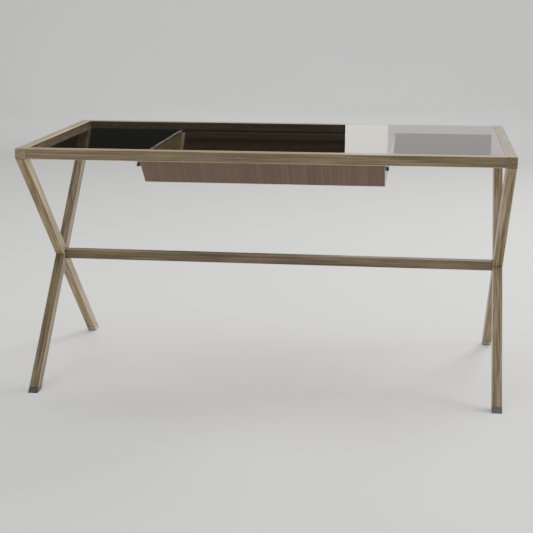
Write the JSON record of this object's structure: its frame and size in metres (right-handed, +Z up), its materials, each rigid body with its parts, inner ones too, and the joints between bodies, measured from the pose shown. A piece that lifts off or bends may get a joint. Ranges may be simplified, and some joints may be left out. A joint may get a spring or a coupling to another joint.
{
  "type": "desk",
  "caption": "Glass-topped desk on crossed timber legs with a stretcher and a shallow pull-out tray with slanted ends, running on steel roller slides under the top.",
  "frame": {"origin": "on the floor, below the middle of the top", "axes": "+X to the sitter's right along the front rail, +Y from the front towards the back, +Z up"},
  "size_m": [1.4, 0.75, 0.73],
  "materials": {
    "oak": "satin lacquered greige oak",
    "dowel_wood": "raw beech",
    "brown_veneer": "satin brown veneer",
    "light_wood": "satin light wood",
    "glass": "clear tempered, polished edges",
    "clear_rubber": "clear soft pad",
    "white_steel": "white epoxy coat",
    "dark_steel": "dark grey epoxy coat",
    "steel": "zinc plated",
    "nylon": "white nylon",
    "foot_plastic": "grey moulded plastic"
  },
  "bodies": {
    "frame": {"front_rail": "oak", "back_rail": "oak", "left_rail": "oak", "right_rail": "oak", "rail_dowels": "dowel_wood", "front_batten": "oak", "back_batten": "oak", "left_batten": "oak", "right_batten": "oak", "batten_screws": "steel", "glass_top": "glass", "glass_pads": "clear_rubber", "left_leg_front_foot": "oak", "left_leg_back_foot": "oak", "right_leg_front_foot": "oak", "right_leg_back_foot": "oak", "leg_dowels": "dowel_wood", "foot_front_left": "foot_plastic", "foot_front_right": "foot_plastic", "foot_back_left": "foot_plastic", "foot_back_right": "foot_plastic", "stretcher": "oak", "stretcher_bolts": "steel", "barrel_nuts": "steel", "left_channel": "white_steel", "right_channel": "white_steel", "channel_screws": "steel", "front_axle_left": "steel", "front_axle_right": "steel"},
    "tray": {"tray_front": "brown_veneer", "tray_back": "brown_veneer", "tray_left_side": "light_wood", "tray_right_side": "light_wood", "tray_floor": "brown_veneer", "tray_corner_blocks": "light_wood", "tray_stiffener": "brown_veneer", "left_runner": "dark_steel", "right_runner": "dark_steel", "runner_screws": "steel", "rear_axle_left": "steel", "rear_axle_right": "steel"},
    "front_roller_left": {"front_roller_left": "nylon"},
    "front_roller_right": {"front_roller_right": "nylon"},
    "rear_roller_left": {"rear_roller_left": "nylon"},
    "rear_roller_right": {"rear_roller_right": "nylon"}
  },
  "joints": [
    {"name": "tray_slide", "type": "slide", "parent": "frame", "child": "tray", "axis": [0, -1, 0], "range_m": [0, 0.4]},
    {"name": "front_roller_left_spin", "type": "hinge", "parent": "frame", "child": "front_roller_left", "pos_m": [-0.34985, -0.315, 0.6878], "axis": [1, 0, 0], "range_deg": [0, 4168]},
    {"name": "rear_roller_left_spin", "type": "hinge", "parent": "tray", "child": "rear_roller_left", "pos_m": [-0.34985, 0.285, 0.6876], "axis": [1, 0, 0], "range_deg": [0, 4168]},
    {"name": "front_roller_right_spin", "type": "hinge", "parent": "frame", "child": "front_roller_right", "pos_m": [0.34985, -0.315, 0.6878], "axis": [1, 0, 0], "range_deg": [0, 4168]},
    {"name": "rear_roller_right_spin", "type": "hinge", "parent": "tray", "child": "rear_roller_right", "pos_m": [0.34985, 0.285, 0.6876], "axis": [1, 0, 0], "range_deg": [0, 4168]}
  ],
  "couplings": [
    {"joint": "front_roller_left_spin", "follows": "tray_slide", "rad_per_m": 181.82},
    {"joint": "rear_roller_left_spin", "follows": "tray_slide", "rad_per_m": 181.82},
    {"joint": "front_roller_right_spin", "follows": "tray_slide", "rad_per_m": 181.82},
    {"joint": "rear_roller_right_spin", "follows": "tray_slide", "rad_per_m": 181.82}
  ]
}
